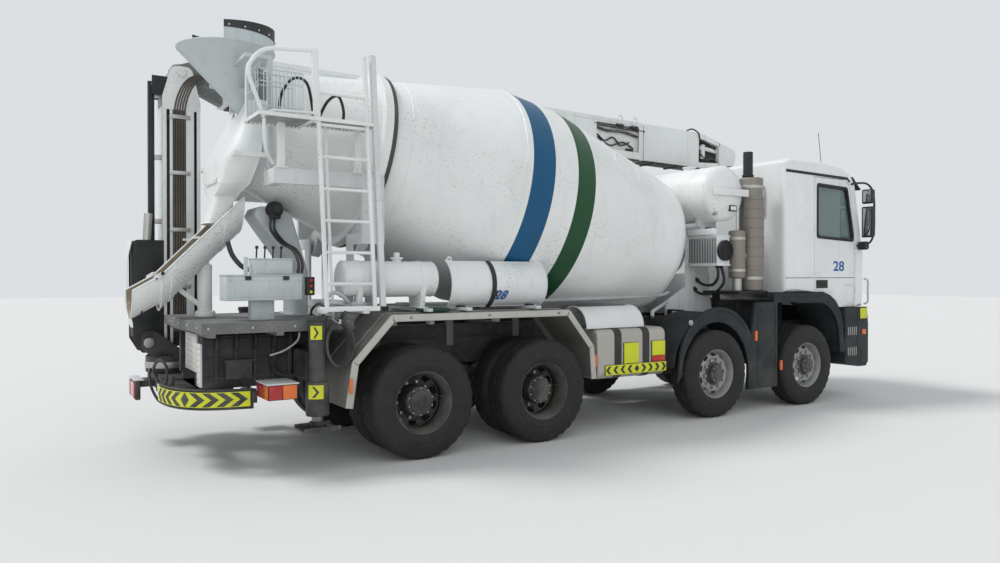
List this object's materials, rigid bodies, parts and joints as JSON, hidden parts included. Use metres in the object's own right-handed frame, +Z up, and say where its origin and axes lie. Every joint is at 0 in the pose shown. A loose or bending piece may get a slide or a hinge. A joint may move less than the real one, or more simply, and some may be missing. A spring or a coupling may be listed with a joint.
{
  "type": "concrete mixer truck with a belt conveyor",
  "caption": "Four-axle concrete mixer truck with a tilted drum, feed hopper, swivel chute, folding belt conveyor and support legs.",
  "frame": {"origin": "on the ground under the middle of the overall box", "axes": "+X forward, +Y to the left, +Z up"},
  "size_m": [9.24, 2.7, 4.0126],
  "materials": {
    "body_white": "gloss",
    "body_grey": "satin",
    "chassis_black": "satin",
    "plastic_dark": "matte",
    "plastic_black": "matte",
    "aluminium": "satin",
    "glass": "clear",
    "tyre": "matte",
    "exhaust_steel": "worn",
    "interior": "matte"
  },
  "bodies": {
    "truck": {"chassis_frame": "chassis_black", "mixer_subframe": "body_grey", "tail_deck": "body_grey", "side_bars": "body_grey", "engine_block": "chassis_black", "front_axles": "chassis_black", "rear_axles": "chassis_black", "fuel_tank": "aluminium", "battery_box": "plastic_black", "front_mudguards": "plastic_dark", "mudguard_liners": "plastic_dark", "rear_mudguards": "aluminium", "cab_shell": "body_white", "windscreen": "glass", "bumper": "plastic_dark", "grille": "plastic_black", "mirrors": "plastic_black", "cab_interior": "interior", "exhaust": "exhaust_steel", "water_tank": "body_white", "front_pedestal": "body_grey", "oil_cooler": "body_white", "rear_pedestal": "body_grey", "feed_hopper": "body_grey", "collector": "body_white", "rear_leg": "body_grey", "platform": "body_grey", "side_tank": "body_white", "spare_chutes": "body_white", "tool_box": "plastic_black", "side_box": "body_grey", "tail_bar": "chassis_black", "outrigger_sleeves": "chassis_black"},
    "door_right": {"door_right": "body_white", "glass_right": "glass"},
    "door_left": {"door_left": "body_white", "glass_left": "glass"},
    "drum": {"drum": "body_white"},
    "chute": {"chute": "body_grey"},
    "chute_flap": {"chute_flap": "body_grey"},
    "turret": {"turret": "chassis_black"},
    "mast": {"mast": "body_grey"},
    "boom": {"boom": "body_white"},
    "boom_inner": {"boom_inner": "body_white"},
    "leg_right": {"leg_right": "chassis_black"},
    "leg_left": {"leg_left": "chassis_black"},
    "knuckle_1_right": {"knuckle_1_right": "chassis_black"},
    "knuckle_1_left": {"knuckle_1_left": "chassis_black"},
    "knuckle_2_right": {"knuckle_2_right": "chassis_black"},
    "knuckle_2_left": {"knuckle_2_left": "chassis_black"},
    "wheel_1_right": {"wheel_1_right": "tyre"},
    "wheel_1_left": {"wheel_1_left": "tyre"},
    "wheel_2_right": {"wheel_2_right": "tyre"},
    "wheel_2_left": {"wheel_2_left": "tyre"},
    "wheel_3_right": {"wheel_3_right": "tyre"},
    "wheel_3_left": {"wheel_3_left": "tyre"},
    "wheel_4_right": {"wheel_4_right": "tyre"},
    "wheel_4_left": {"wheel_4_left": "tyre"}
  },
  "joints": [
    {"name": "steer_1_right", "type": "hinge", "parent": "truck", "child": "knuckle_1_right", "pos_m": [3.22, -0.88, 0.495], "axis": [0, 0, 1], "range_deg": [-35, 35]},
    {"name": "steer_1_left", "type": "hinge", "parent": "truck", "child": "knuckle_1_left", "pos_m": [3.22, 0.88, 0.495], "axis": [0, 0, 1], "range_deg": [-35, 35]},
    {"name": "steer_2_right", "type": "hinge", "parent": "truck", "child": "knuckle_2_right", "pos_m": [1.52, -0.88, 0.495], "axis": [0, 0, 1], "range_deg": [-23, 23]},
    {"name": "steer_2_left", "type": "hinge", "parent": "truck", "child": "knuckle_2_left", "pos_m": [1.52, 0.88, 0.495], "axis": [0, 0, 1], "range_deg": [-23, 23]},
    {"name": "roll_1_right", "type": "hinge", "parent": "knuckle_1_right", "child": "wheel_1_right", "pos_m": [3.22, -1.085, 0.515], "axis": [0, 1, 0], "continuous": true},
    {"name": "roll_1_left", "type": "hinge", "parent": "knuckle_1_left", "child": "wheel_1_left", "pos_m": [3.22, 1.085, 0.515], "axis": [0, 1, 0], "continuous": true},
    {"name": "roll_2_right", "type": "hinge", "parent": "knuckle_2_right", "child": "wheel_2_right", "pos_m": [1.52, -1.085, 0.515], "axis": [0, 1, 0], "continuous": true},
    {"name": "roll_2_left", "type": "hinge", "parent": "knuckle_2_left", "child": "wheel_2_left", "pos_m": [1.52, 1.085, 0.515], "axis": [0, 1, 0], "continuous": true},
    {"name": "roll_3_right", "type": "hinge", "parent": "truck", "child": "wheel_3_right", "pos_m": [-0.98, -1.085, 0.515], "axis": [0, 1, 0], "continuous": true},
    {"name": "roll_3_left", "type": "hinge", "parent": "truck", "child": "wheel_3_left", "pos_m": [-0.98, 1.085, 0.515], "axis": [0, 1, 0], "continuous": true},
    {"name": "roll_4_right", "type": "hinge", "parent": "truck", "child": "wheel_4_right", "pos_m": [-2.33, -1.085, 0.515], "axis": [0, 1, 0], "continuous": true},
    {"name": "roll_4_left", "type": "hinge", "parent": "truck", "child": "wheel_4_left", "pos_m": [-2.33, 1.085, 0.515], "axis": [0, 1, 0], "continuous": true},
    {"name": "door_right_open", "type": "hinge", "parent": "truck", "child": "door_right", "pos_m": [4.362, -1.156, 1.75], "axis": [0, 0, 1], "range_deg": [0, 70]},
    {"name": "door_left_open", "type": "hinge", "parent": "truck", "child": "door_left", "pos_m": [4.362, 1.156, 1.75], "axis": [0, 0, -1], "range_deg": [0, 70]},
    {"name": "drum_turn", "type": "hinge", "parent": "truck", "child": "drum", "pos_m": [-1.21289, 0, 2.57972], "axis": [0.9799, 0, -0.1994], "continuous": true},
    {"name": "chute_swing", "type": "hinge", "parent": "truck", "child": "chute", "pos_m": [-3.98, 0, 1.5], "axis": [0, 0, 1], "range_deg": [-15, 60]},
    {"name": "flap_fold", "type": "hinge", "parent": "chute", "child": "chute_flap", "pos_m": [-4.384, 0, 1.69], "axis": [0, 1, 0], "range_deg": [0, 150]},
    {"name": "turret_slew", "type": "hinge", "parent": "truck", "child": "turret", "pos_m": [-4.11, 1.085, 0.8], "axis": [0, 0, 1], "range_deg": [0, 180]},
    {"name": "mast_luff", "type": "hinge", "parent": "turret", "child": "mast", "pos_m": [-4.33, 1.085, 1], "axis": [0, 1, 0], "range_deg": [-80, 0]},
    {"name": "boom_fold", "type": "hinge", "parent": "mast", "child": "boom", "pos_m": [-4.01, 1.085, 3.75], "axis": [0, -1, 0], "range_deg": [0, 90]},
    {"name": "boom_extend", "type": "slide", "parent": "boom", "child": "boom_inner", "axis": [0.9998, 0, -0.0175], "range_m": [0, 2.4]},
    {"name": "leg_right_extend", "type": "slide", "parent": "truck", "child": "leg_right", "axis": [0, 0, -1], "range_m": [0, 0.36]},
    {"name": "leg_left_extend", "type": "slide", "parent": "truck", "child": "leg_left", "axis": [0, 0, -1], "range_m": [0, 0.36]}
  ],
  "couplings": [
    {"joint": "steer_1_left", "follows": "steer_1_right", "ratio": 1},
    {"joint": "steer_2_right", "follows": "steer_1_right", "ratio": 0.65},
    {"joint": "steer_2_left", "follows": "steer_1_right", "ratio": 0.65}
  ]
}
